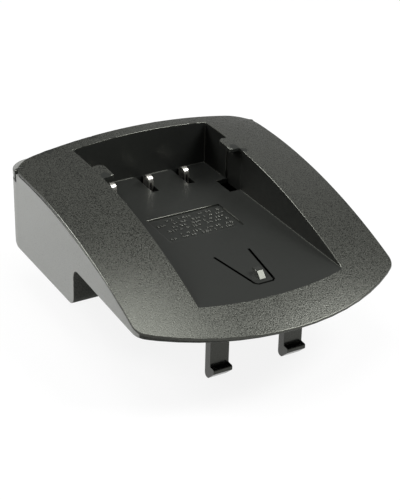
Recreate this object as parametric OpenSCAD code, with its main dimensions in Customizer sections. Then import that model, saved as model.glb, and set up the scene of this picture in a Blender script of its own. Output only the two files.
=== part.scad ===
// Clip-on battery plate of a universal camera battery charger.
// A crowned top moulding holds the battery bay; a lower shell with a deep rear block carries it.
// Three spring contacts stand in the bay and are wired to flat terminals under the block.
// Origin: middle of the block's underside. +Y points to the contact end, +Z up.

/* [Plate] */
// Width across the front corners
plate_w = 64.9; // [60:0.1:72]
// How much narrower the plate is at its rear edge
plate_taper = 0.4; // [0:0.1:4]
// Length from the rear edge to the tip of the front arc
plate_l = 76.4; // [72:0.1:84]
// Radius of the bowed front edge
front_r = 51; // [44:1:80]
// Radius of the two front corners
front_corner_r = 4.2; // [2:0.1:6]
// Radius of the two rear corners
rear_corner_r = 6; // [4:0.1:8]
// Distance from the rear edge to the bay's rear wall
rear_border = 4.3; // [3.4:0.1:6]

/* [Crown] */
// Radius of the domed top surface
crown_r = 146; // [130:1:180]
// Height of the dome's highest point above the bay floor
crown_h = 12; // [11:0.1:14]
// Distance from the bay's rear wall forward to the highest point
crown_back = 6.1; // [2:0.1:12]
// Thickness of the domed sheet
cover_t = 1.5; // [1.2:0.1:2]
// Thickness of the sheet's outer rim
rim_t = 0.5; // [0.4:0.05:0.9]
// Height of the shadow gap between rim and shell
groove_h = 0.3; // [0.2:0.05:0.5]
// Depth of that shadow gap
groove_d = 0.4; // [0.2:0.05:0.7]

/* [Battery bay] */
// Inside width of the bay
bay_w = 36; // [30:0.1:40]
// Height of the bay floor above the block's underside
floor_z = 12.2; // [11:0.1:15]
// Thickness of the bay's side and rear walls
bay_wall = 1.5; // [1.2:0.1:2]
// Thickness of the bay floor
bay_floor_t = 1.2; // [1:0.05:1.3]

/* [Hold-down tabs] */
// How far each tab reaches over the battery
tab_reach = 2.7; // [1.5:0.1:4]
// Length of a tab along the wall
tab_l = 6; // [4:0.1:9]
// Distance from the bay's rear wall to the tabs
tab_back = 10.4; // [9:0.1:14]
// Clear height under the tabs
tab_clear = 9.8; // [8.5:0.1:10]
// Size of the cut inner rear corner of a tab
tab_corner = 1.1; // [0.4:0.1:1.5]
// Width of the moulding hole in the floor under a tab
tab_hole_w = 2.3; // [1.5:0.1:3]
// Depth of the wall recess under a tab
tab_recess = 0.4; // [0.2:0.1:0.8]

/* [Contacts] */
// Distance between neighbouring contacts
contact_pitch = 9.8; // [8:0.1:11]
// Sideways place of the middle contact
contact_x = -0.45; // [-2:0.05:2]
// Width of a contact strip
contact_w = 1.35; // [1:0.05:1.5]
// Thickness of a contact strip
contact_t = 0.28; // [0.2:0.02:0.4]
// Height of the contacts above the bay floor
contact_h = 2.7; // [2:0.1:3.5]
// Distance from the bay's rear wall to a contact's rear leg
contact_back = 3.8; // [3:0.1:5]
// Distance between a contact's two legs
contact_l = 2.6; // [2:0.1:3.4]
// Width of the slit that splits a contact's front leg in two
contact_slit = 0.4; // [0.2:0.05:0.6]
// Width of a contact slot in the floor
slot_w = 1.75; // [1.7:0.05:2.4]
// Length of a contact slot
slot_l = 9; // [8.6:0.1:9.4]

/* [Label panel] */
// Width of the sunk panel in the floor
panel_w = 19; // [14:0.5:24]
// Length of the sunk panel
panel_l = 11.8; // [8:0.1:14]
// Distance from the bay's rear wall to the panel
panel_back = 21.6; // [20:0.1:25]
// Depth of the panel
panel_d = 0.4; // [0.2:0.1:0.6]

/* [Latch tongue] */
// Width of the tongue at its root
tongue_root_w = 8.9; // [7:0.1:11]
// Width of the tongue at its free end
tongue_tip_w = 4.6; // [3.5:0.1:6]
// Length of the tongue
tongue_l = 14.6; // [12:0.1:17]
// Distance from the tip of the front arc to the tongue's free end
tongue_front = 13.7; // [12:0.1:16]
// Width of the gap round the tongue
tongue_gap = 0.6; // [0.4:0.05:1]
// Distance from the tongue's free end to the nub's upright face
nub_back = 4.9; // [4.2:0.1:7]
// Sideways place of the nub
nub_x = 0.25; // [-0.6:0.05:0.6]
// Width of the nub on the tongue
nub_w = 1.75; // [1:0.05:3]
// Height of the nub above the floor
nub_h = 1.4; // [0.8:0.1:2]
// Length of the nub's flat top
nub_flat = 1.8; // [1:0.1:3]
// Length of the nub's front ramp
nub_ramp = 1.5; // [0.5:0.1:2.5]

/* [Lower shell] */
// Thickness of the shell's walls
shell_wall = 1.6; // [1.4:0.1:2]
// Thickness of the panel under the plate's front
panel_t = 1.1; // [0.9:0.05:1.15]
// Front wall of the block, in front of the origin
block_front = 18.3; // [17:0.1:20]
// Height of the panel's underside where it leaves the block
skirt_z_rear = 9.85; // [9.4:0.05:9.9]
// Height of the panel's underside below the front arc
skirt_z_front = 7; // [6.4:0.05:7.2]
// How far the cover's rim overhangs the shell at the front
skirt_in = 1.1; // [0.4:0.1:1.6]
// Radius of the inner corner between the block's front wall and the panel
step_r = 2; // [0.8:0.1:3]
// Radius of the block's rear lower edge
block_rear_r = 4; // [2:0.1:5]
// Radius of the block's front lower edge
block_front_r = 2.4; // [1:0.1:3]
// Slant of the rear wall, in degrees
rear_slant = 10; // [0:0.1:12]
// How far the rear ledge stands out behind the cover
ledge_out = 2.9; // [1.5:0.1:4]
// Height of the rear ledge
ledge_z = 19.6; // [19:0.1:20.2]
// Height of the latch slots in the rear corners
latch_h = 0.7; // [0.6:0.05:1.2]
// Thickness of the ledge above the latch slots
latch_drop = 1.5; // [1:0.1:2.4]
// Depth of the latch slots into the side walls
latch_d = 0.9; // [0.5:0.1:1.2]
// Radius of the upright rib at the front end of each latch slot
rib_r = 0.5; // [0.4:0.05:0.6]

/* [Hooks] */
// Distance between the middles of the two hooks
hook_pitch = 19; // [14:0.1:26]
// Width of a hook
hook_w = 4.75; // [3:0.05:7]
// Thickness of a hook's strap
hook_t = 2.3; // [1.5:0.1:3]
// Front face of the straps, in front of the origin
hook_front = 44; // [38:0.1:46]
// Depth of the hook tips below the block's underside
hook_drop = 10.7; // [6:0.1:14]
// How far the barb stands out to the front
barb_out = 1.65; // [1:0.05:2.5]
// Height of the barb
barb_h = 3.4; // [2.5:0.1:5]

/* [Electrics] */
// Space between the circuit board and the screw bosses at its sides
board_gap = 1.3; // [0.4:0.1:2]
// Length of the circuit board
board_l = 20; // [18:0.1:20.5]
// Thickness of the circuit board
board_t = 1.6; // [1:0.1:1.6]
// Height of the board's underside
board_z = 4.1; // [3.6:0.1:4.2]
// Length of the carrier that holds the contacts
carrier_l = 8.2; // [7.8:0.1:8.6]
// How far the carrier runs past the outer contacts
carrier_side = 3.2; // [2:0.1:4]
// Thickness of the carrier below its chambers
carrier_t = 1.2; // [0.8:0.1:1.6]
// Distance between the terminals under the block
terminal_pitch = 10; // [7:0.1:10.5]
// Distance from the bay's rear wall to the terminals
terminal_back = 10; // [9:0.1:10.5]
// Width of a terminal's contact face
terminal_w = 4.2; // [3:0.1:5]
// Length of a terminal's contact face
terminal_l = 3.2; // [2.5:0.1:4]
// Width of the flange that holds a terminal inside the shell
terminal_rim = 0.7; // [0.4:0.1:1]
// Thickness of that flange
terminal_t = 0.6; // [0.4:0.1:0.8]
// How far a terminal's face is sunk into its window
terminal_sunk = 0.3; // [0:0.05:0.6]

// Length of a coding resistor's body
resistor_l = 3.8; // [3:0.1:5]
// Radius of a coding resistor's end bulges
resistor_r = 1.05; // [0.8:0.05:1.2]

/* [Screws] */
// Distance of the case screws from the plate's sides
case_screw_in = 7.3; // [6.9:0.1:8]
// Distance from the bay's rear wall to the rear case screws
case_screw_back = 1; // [0:0.1:2]
// Distance of the front case screws from the block's front wall
case_screw_front = 5.3; // [5:0.1:7]
// Radius of the shell's screw bosses
boss_r = 3.2; // [3:0.1:3.5]
// Height at which the bosses of the two mouldings meet
boss_z = 9; // [8:0.1:9.5]
// Height of the seat under a case screw's head
head_seat_z = 5; // [4:0.1:6]
// Shaft radius of the case screws
case_screw_r = 1; // [0.8:0.05:1.2]
// Head radius of the case screws
case_head_r = 2; // [1.7:0.1:2.1]
// How far the case screws reach into the cover's bosses
case_screw_grip = 6.5; // [5:0.1:7]
// Distance of the board screws from the board's front and side edges
board_screw_in = 2.5; // [2.2:0.1:2.8]
// Shaft radius of the board screws
board_screw_r = 0.8; // [0.6:0.05:0.9]
// Head radius of the board screws
board_head_r = 1.6; // [1.3:0.1:1.8]
// Radius of the bosses under the board screws
board_boss_r = 2.2; // [1.8:0.1:2.2]

/* [Hidden] */
$fn = 48;
crown_fn = 180;
// Clearance between pieces that fit together, and how far a cut runs past its surface
slip = 0.1;
cut = 1;
// The plate in plan and in height
bay_y = 12;
rear_y = bay_y + rear_border;
tip_y = rear_y - plate_l;
crown_y = bay_y - crown_back;
top_z = floor_z + crown_h;
under_floor = floor_z - bay_floor_t;
ledge_y = rear_y + ledge_out;
rim_w = shell_wall + slip;
bay_front = tip_y + 2;
tab_y = bay_y - tab_back;
slot_y = bay_y - slip;
tongue_y = tip_y + tongue_front;
nub_y = tongue_y + nub_back;
// Case screws
case_screw_x = plate_w / 2 - case_screw_in;
case_screw_ys = [bay_y - case_screw_back, case_screw_front - block_front];
// Board, carrier, contact springs, terminals and resistors
board_w = 2 * (case_screw_x - boss_r - board_gap);
board_back = bay_y + 2;
board_front = board_back - board_l;
board_top = board_z + board_t;
board_screw_x = board_w / 2 - board_screw_in;
board_screw_y = board_front + board_screw_in;
terminal_y = bay_y - terminal_back;
leg_y = bay_y - contact_back;
foot_y = leg_y - contact_l;
carrier_back = leg_y + 1.35;
latch_top = ledge_z - latch_drop;
rib_y = rear_y - 3.3;
rib_x = half_w(rib_y, 0) - rib_r * 0.7;
resistor_x = contact_pitch * 0.9;
resistor_y = terminal_y - terminal_l / 2 - 1;

// Points of an arc about centre c from angle a to angle b
function arc(c, r, a, b, n) = [for (i = [0 : n]) c + r * [cos(a + (b - a) * i / n), sin(a + (b - a) * i / n)]];

function unit(v) = v / norm(v);

// A closed outline p whose corner i is rounded with radius r[i]; a radius of 0 leaves it sharp
function rounded(p, r, n = 7) =
    let (k = len(p))
    [for (i = [0 : k - 1])
        let (a = unit(p[(i + k - 1) % k] - p[i]),
             b = unit(p[(i + 1) % k] - p[i]),
             half = acos(a * b) / 2)
        each r[i] == 0 ? [p[i]] :
            let (c = p[i] + unit(a + b) * r[i] / sin(half),
                 s = p[i] + a * r[i] / tan(half) - c,
                 e = p[i] + b * r[i] / tan(half) - c,
                 sa = atan2(s[1], s[0]),
                 turn = (atan2(e[1], e[0]) - sa + 540) % 360 - 180)
            arc(c, r[i], sa, sa + turn, n)];

// A strip of thickness t along an open path
function ribbon(path, t) =
    let (k = len(path),
         side = [for (i = [0 : k - 1])
             let (d = unit(path[min(i + 1, k - 1)] - path[max(i - 1, 0)])) [-d[1], d[0]] * t / 2])
    concat([for (i = [0 : k - 1]) path[i] + side[i]], [for (i = [k - 1 : -1 : 0]) path[i] - side[i]]);

// Half width of the plate at y, set in from the edge
function half_w(y, inset) = plate_w / 2 - inset - plate_taper / 2 * (y - tip_y) / plate_l;

// Outline seen from above: straight rear edge, tapered sides, bowed front.
// The front is tucked back by tuck, and the sides in front of the block lean in to meet it.
function outline(inset, rear, tuck) =
    let (r = front_r - inset,
         c = [0, tip_y + tuck + front_r],
         side = inset + tuck / 2,
         a = asin(half_w(c[1] - r * cos(asin(half_w(tip_y, side) / r)), side) / r),
         back = rear - inset,
         bend = half_w(-block_front, inset),
         n = 16)
    rounded(
        concat([[half_w(back, inset), back], [-half_w(back, inset), back]],
               tuck > 0 ? [[-bend, -block_front]] : [],
               arc(c, r, 270 - a, 270 + a, n),
               tuck > 0 ? [[bend, -block_front]] : []),
        concat([rear_corner_r - inset, rear_corner_r - inset],
               tuck > 0 ? [0] : [],
               [front_corner_r - inset], [for (i = [2 : n]) 0], [front_corner_r - inset],
               tuck > 0 ? [0] : []));

module tall(inset, rear = rear_y, tuck = skirt_in) {
    translate([0, 0, -50]) linear_extrude(height = 100) polygon(outline(inset, rear, tuck));
}

// The domed form, its surface sunk by depth
module crown(depth) {
    translate([0, crown_y, top_z - crown_r]) sphere(r = crown_r - depth, $fn = crown_fn);
}

// Extrudes a side view, drawn as [y, z], across the width
module across(w, x = 0) {
    translate([x, 0, 0]) rotate([90, 0, 90]) linear_extrude(height = w, center = true) children();
}

// A box given by its lowest and highest corner
module block(a, b) {
    translate(a) cube(b - a);
}

module mirrored() {
    children();
    mirror([1, 0, 0]) children();
}

// Top cover

module crown_sheet(inset, t, tuck) {
    intersection() {
        tall(inset, rear_y, tuck);
        difference() {
            crown(0);
            crown(t);
        }
    }
}

module bay_walls() {
    half = bay_w / 2 + bay_wall;
    intersection() {
        crown(0);
        tall(rim_w);
        block([-half, bay_front, under_floor], [half, bay_y + bay_wall, top_z + cut]);
    }
}

module tab() {
    x = bay_w / 2;
    intersection() {
        crown(0);
        translate([0, 0, floor_z + tab_clear]) linear_extrude(height = crown_h)
            polygon([[x + slip, tab_y], [x - tab_reach + tab_corner, tab_y],
                     [x - tab_reach, tab_y - tab_corner], [x - tab_reach, tab_y - tab_l],
                     [x + slip, tab_y - tab_l]]);
    }
}

module tab_openings() {
    x = bay_w / 2;
    front = tab_y - tab_l - 0.9;
    block([x - tab_hole_w - tab_recess, front, under_floor - cut], [x + tab_recess, tab_y - 0.3, floor_z + cut]);
    block([x - cut, front, floor_z], [x + tab_recess, tab_y, floor_z + tab_clear]);
}

module tongue_gap_cut() {
    root = tongue_root_w / 2;
    tip = tongue_tip_w / 2;
    y1 = tongue_y;
    y0 = y1 + tongue_l;
    translate([0, 0, under_floor - cut]) linear_extrude(height = bay_floor_t + 2 * cut)
        polygon(ribbon([[-root, y0], [-tip - 0.1, y1 + 0.6], [-tip + 0.5, y1],
                        [tip - 0.5, y1], [tip + 0.1, y1 + 0.6], [root, y0]], tongue_gap));
}

module nub() {
    across(nub_w, nub_x)
        polygon([[nub_y, floor_z - bay_floor_t / 2], [nub_y, floor_z + nub_h],
                 [nub_y - nub_flat, floor_z + nub_h],
                 [nub_y - nub_flat - nub_ramp, floor_z],
                 [nub_y - nub_flat - nub_ramp, floor_z - bay_floor_t / 2]]);
}

module cover_boss(x, y) {
    intersection() {
        crown(rim_t);
        translate([x, y, boss_z + slip]) cylinder(r = boss_r - 0.6, h = top_z);
    }
}

module cover_pilot(x, y) {
    translate([x, y, boss_z - cut]) cylinder(r = case_screw_r + slip / 2, h = case_screw_grip + 2 * cut);
}

// Upright rib at a rear corner, from the dome down to the foot of the latch slot
module corner_rib(r) {
    z = latch_top - latch_h - (r - rib_r);
    intersection() {
        crown(0);
        translate([rib_x, rib_y, z]) cylinder(r = r, h = top_z);
    }
}

module top_cover() {
    color([0.24, 0.24, 0.23]) {
        difference() {
            union() {
                crown_sheet(0, rim_t, 0);
                crown_sheet(rim_w, cover_t, skirt_in);
                bay_walls();
                mirrored() corner_rib(rib_r);
                for (y = case_screw_ys) mirrored() cover_boss(case_screw_x, y);
            }
            block([-bay_w / 2, tip_y - cut, floor_z], [bay_w / 2, bay_y, top_z + cut]);
            for (i = [-1 : 1])
                translate([contact_x + i * contact_pitch - slot_w / 2, slot_y - slot_l, under_floor - cut])
                    cube([slot_w, slot_l, bay_floor_t + 2 * cut]);
            block([-panel_w / 2, bay_y - panel_back - panel_l, floor_z - panel_d],
                  [panel_w / 2, bay_y - panel_back, floor_z + cut]);
            mirrored() tab_openings();
            tongue_gap_cut();
            for (y = case_screw_ys) mirrored() cover_pilot(case_screw_x, y);
        }
        mirrored() tab();
        nub();
    }
}

// Lower shell

// Side view of the shell: slanted rear wall, block, and the panel that rises in front of it
function side_view(wall, panel) =
    let (slope = (skirt_z_front - skirt_z_rear) / (-block_front - tip_y),
         back = ledge_y - wall,
         drop = ledge_z * tan(rear_slant),
         low = wall,
         front = -block_front + wall,
         step_z = skirt_z_rear + panel,
         end_y = tip_y - 5,
         end_z = skirt_z_front + panel + 5 * slope)
    rounded([[back, ledge_z], [back, top_z + 5], [end_y, top_z + 5], [end_y, end_z],
             [front, step_z], [front, low], [back - drop, low]],
            [0, 0, 0, 0, step_r + wall / 2, block_front_r - wall * 0.7, block_rear_r - wall]);

module shell_form() {
    intersection() {
        across(2 * plate_w) polygon(side_view(0, 0));
        union() {
            intersection() {
                tall(0);
                crown(rim_t + groove_h);
            }
            intersection() {
                tall(groove_d);
                crown(rim_t);
            }
            difference() {
                intersection() {
                    tall(0, ledge_y);
                    block([-plate_w, rear_y - 2 * rear_corner_r, -cut], [plate_w, ledge_y + cut, ledge_z]);
                }
                difference() {
                    tall(0);
                    crown(rim_t + groove_h);
                }
            }
        }
    }
}

module shell_hollow() {
    intersection() {
        across(2 * plate_w) polygon(side_view(shell_wall, panel_t));
        union() {
            tall(shell_wall);
            intersection() {
                tall(shell_wall, ledge_y);
                block([-plate_w, -block_front, 0], [plate_w, ledge_y, ledge_z - shell_wall]);
            }
        }
    }
    difference() {
        tall(shell_wall);
        crown(cover_t + slip);
    }
}

module hook() {
    top = skirt_z_rear;
    y0 = -hook_front;
    tip = -hook_drop;
    shelf = tip + barb_h;
    across(hook_w, hook_pitch / 2)
        polygon(rounded([[y0, top], [y0 + hook_t, top], [y0 + hook_t, tip], [y0 + hook_t * 0.35, tip],
                         [y0 - barb_out, shelf - 1.1], [y0 - barb_out, shelf], [y0, shelf]],
                        [0, 0, 0.9, 0.6, 0.4, 0.4, 0.2], 4));
}

module shell_boss(x, y) {
    translate([x, y, 0]) cylinder(r = boss_r, h = boss_z);
}

module boss_bores(x, y) {
    translate([x, y, -cut]) cylinder(r = case_head_r + 0.3, h = head_seat_z + cut);
    translate([x, y, 0]) cylinder(r = case_screw_r + 0.2, h = boss_z + cut);
}

module terminal_window(i) {
    translate([(i - 1.5) * terminal_pitch, terminal_y, 0])
        cube([terminal_w + 2 * slip, terminal_l + 2 * slip, 4 * shell_wall], center = true);
}

module latch_slot() {
    difference() {
        block([0, rib_y, latch_top - latch_h], [plate_w, rear_y + 1.2, latch_top]);
        tall(latch_d, ledge_y);
    }
}

module lower_shell() {
    color([0.55, 0.56, 0.55]) {
        difference() {
            union() {
                difference() {
                    shell_form();
                    shell_hollow();
                }
                for (y = case_screw_ys) mirrored() shell_boss(case_screw_x, y);
                mirrored() translate([board_screw_x, board_screw_y, shell_wall / 2])
                    cylinder(r = board_boss_r, h = board_z - shell_wall / 2);
            }
            for (y = case_screw_ys) mirrored() boss_bores(case_screw_x, y);
            mirrored() translate([board_screw_x, board_screw_y, shell_wall])
                cylinder(r = board_screw_r + 0.05, h = board_z);
            for (i = [0 : 3]) terminal_window(i);
            mirrored() latch_slot();
            mirrored() corner_rib(rib_r + slip);
        }
        intersection() {
            mirrored() hook();
            block([-plate_w, -plate_l, -50], [plate_w, 0, skirt_z_rear]);
            difference() {
                block([-plate_w, -plate_l, -50], [plate_w, 0, top_z]);
                across(2 * plate_w) polygon(side_view(shell_wall, panel_t / 2));
            }
        }
    }
}

// Electrics

module contact_carrier() {
    half_l = contact_pitch + carrier_side;
    half_slot = contact_w / 2 + slip;
    leg_room = contact_t / 2 + slip * 1.6;
    top = under_floor - 2 * slip;
    color([0.12, 0.12, 0.12]) difference() {
        block([contact_x - half_l, carrier_back - carrier_l, board_top], [contact_x + half_l, carrier_back, top]);
        for (i = [-1 : 1]) {
            x = contact_x + i * contact_pitch;
            block([x - half_slot, foot_y - 0.5, board_top + carrier_t], [x + half_slot, leg_y + leg_room, top + cut]);
            block([x - half_slot, leg_y - leg_room, board_top - cut], [x + half_slot, leg_y + leg_room, top]);
        }
    }
}

// A hairpin of nickel strip: the tail is soldered to the board and the free end hangs in the slot
function hairpin() =
    let (r = contact_l / 2, top = floor_z + contact_h - contact_t / 2)
    concat([[leg_y, board_z - 0.8]],
           arc([leg_y - r, top - r], r, 0, 180, 14),
           [[foot_y, floor_z - 0.9], [foot_y + 0.5, floor_z - 2.6]]);

// The free leg is slit, so that it touches the battery with two tips
module contact_spring(i) {
    x = contact_x + (i - 1) * contact_pitch;
    color([0.82, 0.81, 0.78]) difference() {
        across(contact_w, x) polygon(ribbon(hairpin(), contact_t));
        block([x - contact_slit / 2, foot_y - cut, under_floor - 2 * cut],
              [x + contact_slit / 2, leg_y - contact_l / 2, floor_z + contact_h - 1.5]);
    }
}

module circuit_board() {
    color([0.12, 0.36, 0.2]) difference() {
        block([-board_w / 2, board_front, board_z], [board_w / 2, board_back, board_top]);
        mirrored() translate([board_screw_x, board_screw_y, 0]) cylinder(r = board_screw_r + 0.15, h = 20);
        for (i = [-1 : 1])
            translate([contact_x + i * contact_pitch, leg_y, board_z])
                cube([contact_w + 2 * slip, contact_t + 2 * slip, 4 * board_t], center = true);
    }
}

module base_terminal(i) {
    w = terminal_w / 2;
    l = terminal_l / 2;
    top = shell_wall + terminal_t;
    leg = 0.4;
    color([0.83, 0.67, 0.33]) translate([(i - 1.5) * terminal_pitch, terminal_y, 0]) {
        block([-w, -l, terminal_sunk], [w, l, top]);
        block([-w - terminal_rim, -l - terminal_rim, shell_wall], [w + terminal_rim, l + terminal_rim, top]);
        for (x = [-w * 2 / 3, w * 2 / 3]) block([x - leg, -leg, shell_wall], [x + leg, leg, board_z]);
    }
}

// A resistor with bulged ends, its two leads bent down to the board
module coding_resistor(x) {
    lead_r = 0.28;
    waist_r = resistor_r * 0.86;
    end = resistor_l / 2;
    lead_x = end + 1.3;
    lift = board_top + resistor_r + slip;
    color([0.79, 0.69, 0.52]) translate([x, resistor_y, lift]) {
        rotate([0, 90, 0]) rotate_extrude()
            polygon([[0, -end], [waist_r, -end], [resistor_r, 0.2 - end], [resistor_r, 1 - end],
                     [waist_r, 1.2 - end], [waist_r, end - 1.2], [resistor_r, end - 1],
                     [resistor_r, end - 0.2], [waist_r, end], [0, end]]);
        rotate([0, 90, 0]) cylinder(r = lead_r, h = 2 * lead_x, center = true, $fn = 24);
        for (s = [-lead_x, lead_x]) {
            translate([s, 0, 0]) sphere(r = lead_r, $fn = 24);
            translate([s, 0, board_top - lift]) cylinder(r = lead_r, h = lift - board_top, $fn = 24);
        }
    }
}

// Fasteners

module pan_screw(shaft_r, shaft_l, head_r, head) {
    color([0.68, 0.69, 0.7]) difference() {
        union() {
            rotate_extrude() polygon([[0, 0], [head_r, 0], [head_r, head * 0.6], [head_r * 0.8, head * 0.9],
                                      [head_r * 0.5, head], [0, head]]);
            translate([0, 0, -shaft_l]) cylinder(r = shaft_r, h = shaft_l + head / 2);
        }
        for (a = [0, 90])
            rotate([0, 0, a]) translate([0, 0, head]) cube([head_r * 1.2, head_r * 0.3, head], center = true);
    }
}

module case_screw(x, y) {
    translate([x, y, head_seat_z]) rotate([180, 0, 0])
        pan_screw(case_screw_r, boss_z - head_seat_z + case_screw_grip, case_head_r, case_head_r * 0.8);
}

module board_screw(x) {
    translate([x, board_screw_y, board_top])
        pan_screw(board_screw_r, board_top - shell_wall - 5 * slip, board_head_r, board_head_r * 0.65);
}

top_cover();
lower_shell();
contact_carrier();
contact_spring(0);  // contact_spring_left
contact_spring(1);  // contact_spring_middle
contact_spring(2);  // contact_spring_right
circuit_board();
base_terminal(0);  // base_terminal_1
base_terminal(1);  // base_terminal_2
base_terminal(2);  // base_terminal_3
base_terminal(3);  // base_terminal_4
coding_resistor(-resistor_x);  // coding_resistor_left
coding_resistor(resistor_x);  // coding_resistor_right
case_screw(-case_screw_x, case_screw_ys[0]);  // case_screw_rear_left
case_screw(case_screw_x, case_screw_ys[0]);  // case_screw_rear_right
case_screw(-case_screw_x, case_screw_ys[1]);  // case_screw_front_left
case_screw(case_screw_x, case_screw_ys[1]);  // case_screw_front_right
board_screw(-board_screw_x);  // board_screw_left
board_screw(board_screw_x);  // board_screw_right
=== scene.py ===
from math import cos, radians

import bmesh
import bpy
from mathutils import Matrix, Vector
from mathutils.bvhtree import BVHTree


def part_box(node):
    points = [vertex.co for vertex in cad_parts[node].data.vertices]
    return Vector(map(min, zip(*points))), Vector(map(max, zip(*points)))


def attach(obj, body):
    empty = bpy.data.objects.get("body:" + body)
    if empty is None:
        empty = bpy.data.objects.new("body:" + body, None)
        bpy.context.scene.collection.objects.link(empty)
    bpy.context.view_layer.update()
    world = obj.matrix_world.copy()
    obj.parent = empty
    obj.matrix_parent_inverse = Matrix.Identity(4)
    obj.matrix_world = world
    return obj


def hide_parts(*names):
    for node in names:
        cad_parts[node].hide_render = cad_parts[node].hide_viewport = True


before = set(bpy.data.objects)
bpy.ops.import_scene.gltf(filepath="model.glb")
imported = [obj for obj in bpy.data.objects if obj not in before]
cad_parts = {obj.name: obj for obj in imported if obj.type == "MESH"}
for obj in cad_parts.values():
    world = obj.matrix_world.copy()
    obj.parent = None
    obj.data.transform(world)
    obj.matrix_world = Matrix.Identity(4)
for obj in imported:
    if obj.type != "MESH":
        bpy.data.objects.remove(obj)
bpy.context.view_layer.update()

MM = 0.001

# Top cover
# One charcoal moulding: a domed sheet with the battery bay let into it.
# The dome has a spark-eroded grain; the bay's walls and floor come off polished steel.
# Most edges are slightly rounded, as the mould leaves them, and catch the light; their paler colour is
# a painted highlight, and the darker colour of the walls that face sideways is painted shade.

DOME_R = 146 * MM
DOME_CENTRE = Vector((0, 5.9 * MM, -121.8 * MM))
DOME_REACH = 0.06 * MM
FLOOR_Z = 12.2 * MM

CHARCOAL = (0.009, 0.0093, 0.0084, 1)
OLIVE_SHEEN = (0.97, 1, 0.88, 1)
GRAIN_SIZE, CLOUD_SIZE = 0.24 * MM, 6 * MM
DRIFT_SIZE, RIPPLE_SIZE, RIPPLE_DEPTH = 3 * MM, 0.5 * MM, 0.004 * MM


class Signal:
    """A shader socket that adds a Math node when it is used in a sum."""

    def __init__(self, finish, socket):
        self.finish, self.socket = finish, socket

    def _math(self, operation, a, b):
        return self.finish.node("ShaderNodeMath", {"operation": operation}, {0: a, 1: b})

    def __add__(self, other):
        return self._math("ADD", self, other)

    def __sub__(self, other):
        return self._math("SUBTRACT", self, other)

    def __rsub__(self, other):
        return self._math("SUBTRACT", other, self)

    def __mul__(self, other):
        return self._math("MULTIPLY", self, other)

    __radd__, __rmul__ = __add__, __mul__


class Finish:
    """A material on a Principled shader, with patterns in Object coordinates."""

    def __init__(self, name, colour, roughness, **sockets):
        self.material = bpy.data.materials.new(name)
        self.material.use_nodes = True
        self.tree = self.material.node_tree
        self.shader = self.tree.nodes["Principled BSDF"]
        self.place = self.node("ShaderNodeTexCoord", {}, {}, "Object")
        self.set("Base Color", colour)
        self.set("Roughness", roughness)
        for socket, value in sockets.items():
            self.set(socket.replace("_", " "), value)

    def node(self, kind, settings, sockets, output=0):
        node = self.tree.nodes.new(kind)
        for name, value in settings.items():
            setattr(node, name, value)
        for name, value in sockets.items():
            self.plug(node.inputs[name], value)
        return Signal(self, node.outputs[output])

    def plug(self, socket, value):
        if isinstance(value, Signal):
            self.tree.links.new(value.socket, socket)
        else:
            socket.default_value = value

    def set(self, socket, value):
        self.plug(self.shader.inputs[socket], value)

    def noise(self, size, detail=2.0, roughness=0.5):
        sockets = {"Vector": self.place, "Scale": 1 / size, "Detail": detail, "Roughness": roughness}
        return self.node("ShaderNodeTexNoise", {}, sockets)

    def between(self, amount, low, high):
        sockets = {"Factor": amount, 6: low, 7: high}
        return self.node("ShaderNodeMix", {"data_type": "RGBA"}, sockets, 2)

    def grain(self, height, depth):
        sockets = {"Strength": 1.0, "Distance": depth, "Height": height}
        self.set("Normal", self.node("ShaderNodeBump", {}, sockets))


def grained_plastic(name, colour, pale, pit, roughness, shine=0.9):
    """Moulded plastic with a spark-eroded grain: small pits that break up the shine."""
    finish = Finish(name, colour, roughness, Specular_IOR_Level=shine, Specular_Tint=OLIVE_SHEEN)
    fine = finish.noise(GRAIN_SIZE, detail=1.0, roughness=0.6)
    clouds = finish.noise(CLOUD_SIZE)
    finish.set("Base Color", finish.between(fine * 5.5 + clouds * 0.3 - 2.35, colour, pale))
    finish.set("Roughness", fine * 0.5 + roughness - 0.25)
    finish.grain(fine, pit)
    return finish.material


def satin_plastic(name, colour, roughness, shine=0.5):
    """Smooth moulded plastic, with the faint unevenness of a polished mould."""
    finish = Finish(name, colour, roughness, Specular_IOR_Level=shine, Specular_Tint=OLIVE_SHEEN)
    drift = finish.noise(DRIFT_SIZE)
    finish.set("Roughness", drift * 0.12 + roughness - 0.06)
    finish.grain(finish.noise(RIPPLE_SIZE), RIPPLE_DEPTH)
    return finish.material


SHARP, FLAT = radians(28), radians(0.4)
WELD = 0.002 * MM
LEVEL = 0.99
CUT_REACH, PLANE_REACH = 1e-8, 1e-7
LONG_EDGE, EDGE_STEP = 3 * MM, 1.5 * MM
SLIVER, FOLDED = 0.01 * MM, -0.3
ALIKE_PLAIN, ALIKE_ROUNDED = cos(radians(16)), cos(radians(40))
MOST_TRIES = 4


def middle(node):
    low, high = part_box(node)
    return (low.x + high.x) / 2


def on_dome(face):
    return all(abs((v.co - DOME_CENTRE).length - DOME_R) < DOME_REACH for v in face.verts)


def sharp(edge):
    return len(edge.link_faces) == 2 and edge.calc_face_angle() > SHARP


def in_plane(edge, opened_at):
    return any(all(abs(v.co.x - x) < PLANE_REACH for v in edge.verts) for x in opened_at)


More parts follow.
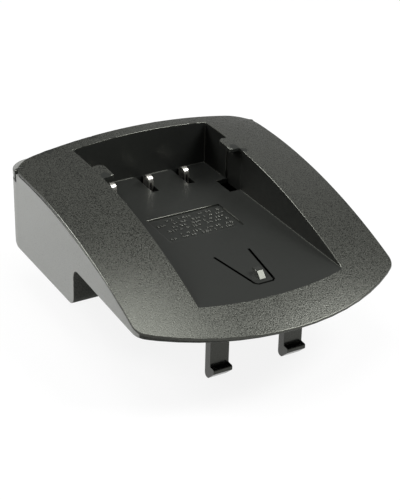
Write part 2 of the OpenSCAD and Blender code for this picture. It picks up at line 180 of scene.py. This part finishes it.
def merged(node, opened_at):
    """A CAD node's mesh with its triangles merged into large faces, and its long edges in short steps.

    Level faces are first cut open along the planes x = opened_at, so that holes don't tangle
    their outlines.
    """
    bm = bmesh.new()
    bm.from_mesh(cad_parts[node].data)
    bmesh.ops.remove_doubles(bm, verts=bm.verts, dist=WELD)
    for x in opened_at:
        level = [f for f in bm.faces if abs(f.normal.z) > LEVEL and not on_dome(f)]
        around = {e for f in level for e in f.edges} | {v for f in level for v in f.verts}
        bmesh.ops.bisect_plane(bm, geom=[*level, *around], dist=CUT_REACH,
                               plane_co=(x, 0, 0), plane_no=(1, 0, 0))
    loose = [e for e in bm.edges if not in_plane(e, opened_at)]
    bmesh.ops.dissolve_limit(bm, angle_limit=FLAT, verts=bm.verts, edges=loose)
    long_edges = [e for e in bm.edges if sharp(e) and e.calc_length() > LONG_EDGE]
    for steps in (2, 3, 5, 9, 17):
        batch = [e for e in long_edges if steps <= e.calc_length() / EDGE_STEP < 2 * steps - 1]
        bmesh.ops.subdivide_edges(bm, edges=batch, cuts=steps - 1)
    return bm


def folds(bm, surface):
    """The places where a mesh points away from the surface that it should follow."""
    plain = bm.copy()
    bmesh.ops.triangulate(plain, faces=plain.faces)
    centres = []
    for face in plain.faces:
        centre = face.calc_center_median()
        normal = surface.find_nearest(centre)[1]
        if face.calc_area() > SLIVER ** 2 and normal.dot(face.normal) < FOLDED:
            centres.append(centre)
    plain.free()
    return centres


def corner_normals(bm, rounded):
    """A normal for each corner of each face, which keeps flat faces flat up to their rounded edges."""
    normals = []
    for face in bm.faces:
        alike_from = ALIKE_ROUNDED if face in rounded else ALIKE_PLAIN
        for corner in face.loops:
            alike = [c for c in corner.vert.link_loops if c.face.normal.dot(face.normal) > alike_from]
            near = [c for c in alike if c.face not in rounded] or alike
            normals.append(sum((c.face.normal * c.calc_angle() for c in near), Vector()))
    return [n.normalized() for n in normals]


def eased(node, name, radius, opened_at=(), finish_of=lambda face, edge: 0, left=lambda co: False):
    """A copy of a CAD node's mesh with its sharp edges rounded, and a material chosen for each face.

    An edge stays sharp where left says so, and where its rounding would fold over its neighbours.
    """
    source = merged(node, opened_at)
    surface = BVHTree.FromBMesh(source)
    corners = {e.index: ((e.verts[0].co + e.verts[1].co) / 2, e.calc_length() / 2)
               for e in source.edges if sharp(e)}
    spared = {i for i, (co, half) in corners.items() if left(co)}
    for _ in range(MOST_TRIES):
        bm = source.copy()
        bm.edges.ensure_lookup_table()
        edges = [bm.edges[i] for i in corners if i not in spared]
        bevelled = bmesh.ops.bevel(bm, geom=edges, offset=radius, offset_type="OFFSET", segments=3,
                                   profile=0.5, affect="EDGES", clamp_overlap=False, material=-1)
        faults = folds(bm, surface)
        more = {i for i, (co, half) in corners.items()
                if any((co - fault).length < half + radius for fault in faults)}
        if more <= spared:
            break
        spared |= more
    bm.normal_update()
    rounded = set(bevelled["faces"])
    for face in bm.faces:
        face.smooth = True
        face.material_index = finish_of(face, face in rounded)
    mesh = bpy.data.meshes.new(name)
    bm.to_mesh(mesh)
    mesh.normals_split_custom_set(corner_normals(bm, rounded))
    bm.free()
    source.free()
    piece = bpy.data.objects.new(name, mesh)
    bpy.context.scene.collection.objects.link(piece)
    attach(piece, "root")
    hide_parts(node)
    return piece


CASE_SCREWS = [f"case_screw_front_{side}" for side in ("left", "right")]
SPRINGS = [f"contact_spring_{side}" for side in ("left", "middle", "right")]

COVER_EDGE_R = 0.18 * MM
PANEL_Z = FLOOR_Z - 0.4 * MM
PANEL_FOOT = 0.1 * MM
FLOOR_REACH, FILLET_TOP = 0.02 * MM, 0.3 * MM
SLOT_W = 1.75 * MM
SLOT_FRONT_Y = 2.8 * MM
NUB_HALF_W = 1.3 * MM
NUB_FRONT_Y, NUB_BACK_Y = -46 * MM, -41 * MM
TONGUE_HALF_W = 5.2 * MM
TONGUE_FRONT_Y, TONGUE_ROOT_Y = -46.9 * MM, -31 * MM
COVER_GRAIN, COVER_BAY, COVER_HIGHLIGHTED_EDGES, COVER_SHADED_WALLS, COVER_NUB = range(5)
cover_planes = [middle(n) for n in (*CASE_SCREWS, SPRINGS[0], SPRINGS[2])] + [0]


def cover_finish(face, edge):
    """Grain on the dome, polish and a painted highlight on the outer edges, polish on the latch nub,
    and dull bay walls darkened as painted shade.
    """
    place = face.calc_center_median()
    above_floor = place.z > FLOOR_Z + FLOOR_REACH
    if above_floor and abs(place.x) < NUB_HALF_W and NUB_FRONT_Y < place.y < NUB_BACK_Y:
        return COVER_NUB
    low_fillet = FLOOR_REACH < place.z - FLOOR_Z < FILLET_TOP
    if edge and not low_fillet:
        return COVER_HIGHLIGHTED_EDGES
    if on_dome(face):
        return COVER_GRAIN
    return COVER_SHADED_WALLS if abs(face.normal.x) > 0.5 else COVER_BAY


def plain_corner(co):
    """The panel's foot, the spring slots and the gap round the tongue keep their sharp edges."""
    at_panel = abs(co.z - PANEL_Z) < PANEL_FOOT
    in_slots = co.y > SLOT_FRONT_Y and any(abs(co.x - middle(n)) < SLOT_W for n in SPRINGS)
    in_gap = abs(co.x) < TONGUE_HALF_W and TONGUE_FRONT_Y < co.y < TONGUE_ROOT_Y
    return at_panel or co.z < FLOOR_Z + FLOOR_REACH and (in_slots or in_gap)


cover = eased("top_cover", "cover_moulding", COVER_EDGE_R, cover_planes, cover_finish, plain_corner)
cover.data.materials.append(grained_plastic("cover_grain", CHARCOAL, (0.043, 0.0445, 0.039, 1),
                                            0.035 * MM, 0.31))
cover.data.materials.append(satin_plastic("cover_bay", (0.0145, 0.0155, 0.0145, 1), 0.42))
# The rounded edges are painted paler than the dome: a painted highlight.
cover.data.materials.append(satin_plastic("cover_edges_painted_highlight", (0.05, 0.051, 0.045, 1), 0.15, 0.75))
# The walls that face sideways are painted darker than the bay floor: painted shade.
cover.data.materials.append(satin_plastic("cover_walls_painted_shade", (0.005, 0.0053, 0.005, 1), 0.5, 0.4))
cover.data.materials.append(satin_plastic("cover_nub", (0.02, 0.021, 0.019, 1), 0.17, 0.45))

# Relief in the sunk panel
# The panel in the bay floor carries six rows of tiny raised bars, moulded with the cover.
# They stand where such plates have their data, and spell nothing. Their paler colour than the cover is
# a painted highlight.

ROW_YS = [y * MM for y in (-11.3, -13.0, -14.6, -16.1, -18.3, -19.7)]
ROW_STARTS, ROW_END = (-5.4 * MM, -8.6 * MM), 8.4 * MM
BAR_HEIGHT, BAR_ROOT, BAR_EDGE_R = 0.22 * MM, 0.02 * MM, 0.08 * MM
BAR_WIDTHS = (0.45, 0.3, 0.7, 0.35, 0.5, 0.3, 0.55, 0.8, 0.3, 0.4, 0.6)
BAR_LENGTHS = (0.6 * MM, 0.9 * MM, 0.9 * MM)
BAR_GAPS = (0.9 * MM, 0.35 * MM, 0.35 * MM)


def raised_bar(bm, x, y, width, length):
    """A low bar with rounded edges that stands on the panel."""
    place = Matrix.Translation((x, y, PANEL_Z + BAR_HEIGHT / 2 - BAR_ROOT))
    shape = Matrix.Diagonal((width, length, BAR_HEIGHT, 1))
    bar = bmesh.ops.create_cube(bm, size=1, matrix=place @ shape)
    edges = {e for v in bar["verts"] for e in v.link_edges}
    bmesh.ops.bevel(bm, geom=list(edges), offset=BAR_EDGE_R, offset_type="OFFSET", segments=2,
                    profile=0.5, affect="EDGES", clamp_overlap=False, material=-1)


relief_mesh = bmesh.new()
for row, y in enumerate(ROW_YS):
    x = ROW_STARTS[row % 2]
    count = row * 4
    while x < ROW_END:
        width = BAR_WIDTHS[count % len(BAR_WIDTHS)] * MM
        if count % 5 != 2:
            raised_bar(relief_mesh, x + width / 2, y, width, BAR_LENGTHS[count % 3])
        x += width + BAR_GAPS[count % 3]
        count += 1
for face in relief_mesh.faces:
    face.smooth = True
relief = bpy.data.objects.new("panel_relief", bpy.data.meshes.new("panel_relief"))
relief_mesh.to_mesh(relief.data)
relief_mesh.free()
bpy.context.scene.collection.objects.link(relief)
relief.modifiers.new("even_shading", "WEIGHTED_NORMAL")
# The bars are painted paler than the panel: a painted highlight on their tops.
relief.data.materials.append(satin_plastic("relief_painted_highlight", (0.05, 0.051, 0.047, 1), 0.2, 0.8))
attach(relief, "root")

# Lower shell
# One moulding of the same plastic: the deep block at the rear, the thin panel and the two hooks.
# Its outer walls are painted paler than the cover, as painted light from the left, and have shallower
# pits; faces that look forwards or down are painted darker, as painted shade; the hooks are smooth and
# glossy.

SHELL_EDGE_R = 0.11 * MM
HOOK_TOP_Z = 6.7 * MM
HOOK_FRONT_Y = -41.5 * MM
HOOK_X = 9.5 * MM
TERMINALS = [f"base_terminal_{i}" for i in range(1, 5)]
BOARD_SCREWS = ["board_screw_left", "board_screw_right"]
SHELL_LIT_GRAIN, SHELL_GLOSS, SHELL_SHADED = range(3)
shell_planes = [middle(n) for n in CASE_SCREWS + TERMINALS + BOARD_SCREWS] + [-HOOK_X, HOOK_X]


def shell_finish(face, edge):
    """Gloss on the hooks and rounded edges, a dull finish painted darker as painted shade where a face
    looks forwards or down, and grain painted pale as painted light elsewhere.
    """
    place = face.calc_center_median()
    if place.y < HOOK_FRONT_Y and place.z < HOOK_TOP_Z or edge:
        return SHELL_GLOSS
    return SHELL_SHADED if min(face.normal.y, face.normal.z) < -0.5 else SHELL_LIT_GRAIN


shell = eased("lower_shell", "shell_moulding", SHELL_EDGE_R, shell_planes, shell_finish)
# The grained walls are painted pale grey: painted light from the left on the charcoal plastic.
shell.data.materials.append(grained_plastic("shell_grain_painted_light", (0.19, 0.193, 0.185, 1),
                                            (0.24, 0.244, 0.235, 1), 0.02 * MM, 0.4, 0.5))
shell.data.materials.append(satin_plastic("hook_gloss", (0.012, 0.012, 0.012, 1), 0.2))
# Faces that look forwards or down are painted darker: painted shade under the plate.
shell.data.materials.append(grained_plastic("shell_painted_shade", (0.02, 0.021, 0.019, 1),
                                            (0.045, 0.047, 0.043, 1), 0.03 * MM, 0.75, 0.3))

# Contact springs
# Three bent strips of nickel-plated spring bronze that stand up through the slots in the floor.
# Their edges are drawn over by the press, so each strip has a soft shoulder.

STRIP_EDGE_R = 0.13 * MM
nickel = Finish("bright_nickel", (0.86, 0.84, 0.78, 1), 0.3, Metallic=1.0)
nickel.set("Roughness", nickel.noise(0.4 * MM) * 0.12 + 0.26)
for spring_name in SPRINGS:
    spring = eased(spring_name, spring_name.replace("spring", "strip"), STRIP_EDGE_R)
    spring.data.materials.append(nickel.material)

# Carrier, board, terminals, resistors and screws
# The inner pieces show only through slots, windows and recesses, so their solids stay as they are.
# Each gets the finish of the real one: black plastic, green board, brass, lacquer and zinc.

board_green = Finish("solder_mask", (0.03, 0.15, 0.06, 1), 0.35)
board_green.set("Base Color", board_green.between(board_green.noise(1.2 * MM), (0.02, 0.11, 0.045, 1),
                                                  (0.04, 0.18, 0.08, 1)))
brass = Finish("terminal_brass", (0.80, 0.58, 0.24, 1), 0.25, Metallic=1.0)
brass.set("Roughness", brass.noise(0.6 * MM) * 0.15 + 0.18)
lacquer = Finish("resistor_lacquer", (0.62, 0.48, 0.28, 1), 0.3)
lacquer.grain(lacquer.noise(0.4 * MM), 0.01 * MM)
steel = Finish("zinc_steel", (0.60, 0.61, 0.62, 1), 0.3, Metallic=1.0)
steel.set("Roughness", steel.noise(0.3 * MM) * 0.2 + 0.22)
carrier_black = satin_plastic("carrier_black", (0.015, 0.015, 0.015, 1), 0.45)
INNER_FINISHES = {"contact_carrier": carrier_black, "circuit_board": board_green.material,
                  "base_terminal": brass.material, "coding_resistor": lacquer.material,
                  "case_screw": steel.material, "board_screw": steel.material}
for name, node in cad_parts.items():
    for start, material in INNER_FINISHES.items():
        if name.startswith(start):
            node.data.materials.clear()
            node.data.materials.append(material)

# Camera
# The view of the photograph, solved from the edges of the bay and the plate.
# It stands in front of the plate, to its left, and looks down on it.

AZIMUTH, ELEVATION, ROLL = radians(30.13), radians(28.64), radians(1.39)
CAMERA_PLACE = (-153.5 * MM, -282.4 * MM, 173.2 * MM)

lens = bpy.data.cameras.new("camera")
lens.lens = 108.77
lens.clip_start, lens.clip_end = 0.01, 10
camera = bpy.data.objects.new("camera", lens)
bpy.context.scene.collection.objects.link(camera)
camera.matrix_world = (Matrix.Translation(CAMERA_PLACE)
                       @ Matrix.Rotation(-AZIMUTH, 4, "Z")
                       @ Matrix.Rotation(radians(90) - ELEVATION, 4, "X")
                       @ Matrix.Rotation(ROLL, 4, "Z"))
bpy.context.scene.camera = camera

# Studio
# A flat white floor under the hooks, lit by five softboxes: one above, two on the right in front,
# and one behind on each side. The floor glows white for the camera, mirrors and glass.

FLOOR_HALF_SIZE = 3
WHITE_SEEN, WHITE_MIRRORED = 0.88, 0.9

floor_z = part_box("lower_shell")[0].z
floor_mesh = bmesh.new()
bmesh.ops.create_grid(floor_mesh, x_segments=1, y_segments=1, size=FLOOR_HALF_SIZE,
                      matrix=Matrix.Translation((0, 0, floor_z)))
floor = bpy.data.objects.new("studio_floor", bpy.data.meshes.new("studio_floor"))
floor_mesh.to_mesh(floor.data)
floor_mesh.free()
bpy.context.scene.collection.objects.link(floor)
paper = Finish("white_paper", (0.92, 0.92, 0.92, 1), 0.9)
glow = paper.node("ShaderNodeEmission", {}, {"Color": (1, 1, 1, 1), "Strength": 1.0})
direct = paper.node("ShaderNodeLightPath", {}, {}, "Is Camera Ray")
mirrored = Signal(paper, direct.socket.node.outputs["Is Glossy Ray"])
through = Signal(paper, direct.socket.node.outputs["Is Transmission Ray"])
seen = direct * WHITE_SEEN + mirrored * WHITE_MIRRORED + through * WHITE_SEEN
lit_paper = Signal(paper, paper.shader.outputs[0])
mixed = paper.node("ShaderNodeMixShader", {}, {0: seen, 1: lit_paper, 2: glow})
paper.plug(paper.tree.nodes["Material Output"].inputs["Surface"], mixed)
floor.data.materials.append(paper.material)


def softbox(name, place, size, power):
    """A square area light that faces the middle of the object."""
    lamp = bpy.data.lights.new(name, "AREA")
    lamp.size, lamp.energy = size, power
    light = bpy.data.objects.new(name, lamp)
    light.location = place
    light.rotation_euler = (-Vector(place)).to_track_quat("-Z", "Y").to_euler()
    bpy.context.scene.collection.objects.link(light)


softbox("top_softbox", (-0.07, -0.03, 0.49), 0.25, 1.1)
softbox("key_softbox", (0.22, -0.21, 0.395), 0.16, 1.25)
softbox("right_softbox", (0.33, -0.15, 0.35), 0.15, 0.95)
softbox("rear_softbox", (0.29, 0.34, 0.22), 0.30, 0.06)
softbox("left_softbox", (-0.29, 0.25, 0.31), 0.20, 1.8)
world = bpy.data.worlds.new("studio")
world.use_nodes = True
world.node_tree.nodes["Background"].inputs["Color"].default_value = (0.5, 0.5, 0.5, 1)
world.node_tree.nodes["Background"].inputs["Strength"].default_value = 0.18
bpy.context.scene.world = world
bpy.context.scene.view_settings.view_transform = "Standard"
